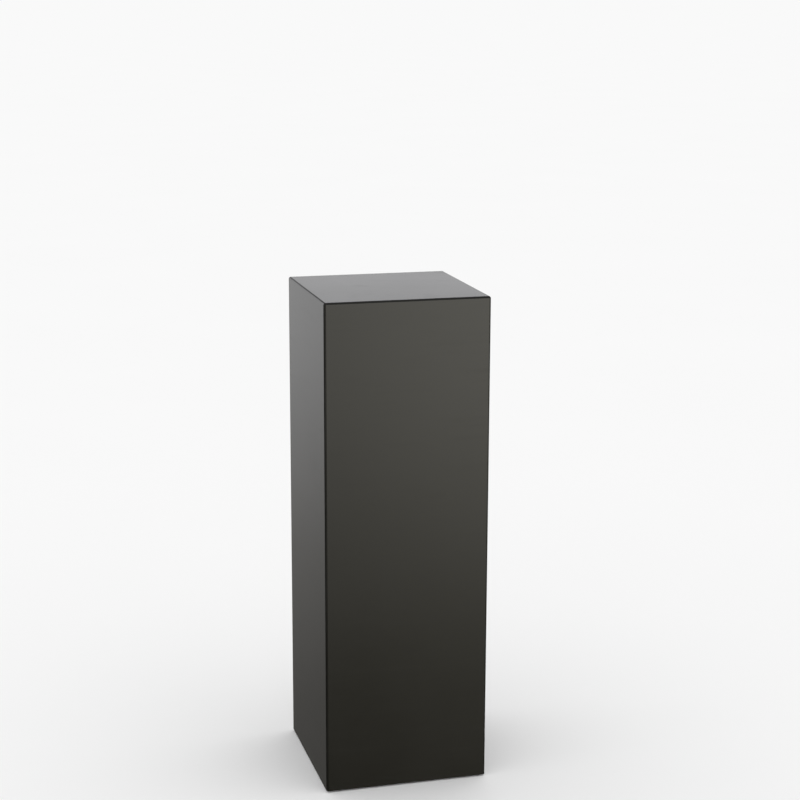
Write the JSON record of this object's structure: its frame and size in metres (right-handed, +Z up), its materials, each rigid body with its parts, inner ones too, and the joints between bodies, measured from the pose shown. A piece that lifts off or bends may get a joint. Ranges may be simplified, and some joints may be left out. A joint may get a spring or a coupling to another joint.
{
  "type": "display plinth",
  "caption": "Tall square display plinth: a box of dark lacquered boards, mitred at every edge, on a framed base with screw-adjusted levelling feet.",
  "frame": {"origin": "on the floor at the centre of the footprint, with the feet screwed in", "axes": "+X to the right of the front face, +Y towards the back, +Z up"},
  "size_m": [0.3, 0.3, 0.9],
  "materials": {
    "lacquer": "fibreboard under graphite semi-gloss lacquer",
    "softwood": "planed softwood",
    "plywood": "birch plywood",
    "beech": "compressed beech",
    "zinc": "zinc-plated steel",
    "nylon": "black nylon",
    "rubber": "matt rubber"
  },
  "bodies": {
    "plinth": {"front_panel": "lacquer", "right_panel": "lacquer", "back_panel": "lacquer", "left_panel": "lacquer", "top_panel": "lacquer", "biscuits_front_left": "beech", "biscuits_front_right": "beech", "biscuits_back_right": "beech", "biscuits_back_left": "beech", "biscuits_top": "beech", "post_front_left": "softwood", "post_front_right": "softwood", "post_back_right": "softwood", "post_back_left": "softwood", "top_rail_front": "softwood", "top_rail_right": "softwood", "top_rail_back": "softwood", "top_rail_left": "softwood", "cleat_front": "softwood", "cleat_right": "softwood", "cleat_back": "softwood", "cleat_left": "softwood", "stiffening_board": "plywood", "base_rail_front": "softwood", "base_rail_right": "softwood", "base_rail_back": "softwood", "base_rail_left": "softwood", "base_board": "plywood", "foot_block_front_left": "plywood", "foot_block_front_right": "plywood", "foot_block_back_right": "plywood", "foot_block_back_left": "plywood", "post_screws": "zinc", "top_screws": "zinc", "rail_screws": "zinc", "cleat_screws": "zinc", "stiffener_screws": "zinc", "base_rail_screws": "zinc", "base_screws": "zinc", "block_screws": "zinc", "insert_front_left": "zinc", "insert_front_right": "zinc", "insert_back_right": "zinc", "insert_back_left": "zinc"},
    "foot_front_left": {"pad_front_left": "nylon", "sole_front_left": "rubber"},
    "screw_front_left": {"stud_front_left": "zinc"},
    "foot_front_right": {"pad_front_right": "nylon", "sole_front_right": "rubber"},
    "screw_front_right": {"stud_front_right": "zinc"},
    "foot_back_right": {"pad_back_right": "nylon", "sole_back_right": "rubber"},
    "screw_back_right": {"stud_back_right": "zinc"},
    "foot_back_left": {"pad_back_left": "nylon", "sole_back_left": "rubber"},
    "screw_back_left": {"stud_back_left": "zinc"}
  },
  "joints": [
    {"name": "foot_drop_front_left", "type": "slide", "parent": "plinth", "child": "foot_front_left", "axis": [0, 0, -1], "range_m": [0, 0.02]},
    {"name": "screw_turn_front_left", "type": "hinge", "parent": "foot_front_left", "child": "screw_front_left", "pos_m": [-0.102, -0.102, 0], "axis": [0, 0, -1], "range_deg": [0, 4800]},
    {"name": "foot_drop_front_right", "type": "slide", "parent": "plinth", "child": "foot_front_right", "axis": [0, 0, -1], "range_m": [0, 0.02]},
    {"name": "screw_turn_front_right", "type": "hinge", "parent": "foot_front_right", "child": "screw_front_right", "pos_m": [0.102, -0.102, 0], "axis": [0, 0, -1], "range_deg": [0, 4800]},
    {"name": "foot_drop_back_right", "type": "slide", "parent": "plinth", "child": "foot_back_right", "axis": [0, 0, -1], "range_m": [0, 0.02]},
    {"name": "screw_turn_back_right", "type": "hinge", "parent": "foot_back_right", "child": "screw_back_right", "pos_m": [0.102, 0.102, 0], "axis": [0, 0, -1], "range_deg": [0, 4800]},
    {"name": "foot_drop_back_left", "type": "slide", "parent": "plinth", "child": "foot_back_left", "axis": [0, 0, -1], "range_m": [0, 0.02]},
    {"name": "screw_turn_back_left", "type": "hinge", "parent": "foot_back_left", "child": "screw_back_left", "pos_m": [-0.102, 0.102, 0], "axis": [0, 0, -1], "range_deg": [0, 4800]}
  ],
  "couplings": [
    {"joint": "screw_turn_front_left", "follows": "foot_drop_front_left", "rad_per_m": 4188.8},
    {"joint": "screw_turn_front_right", "follows": "foot_drop_front_right", "rad_per_m": 4188.8},
    {"joint": "screw_turn_back_right", "follows": "foot_drop_back_right", "rad_per_m": 4188.8},
    {"joint": "screw_turn_back_left", "follows": "foot_drop_back_left", "rad_per_m": 4188.8}
  ]
}
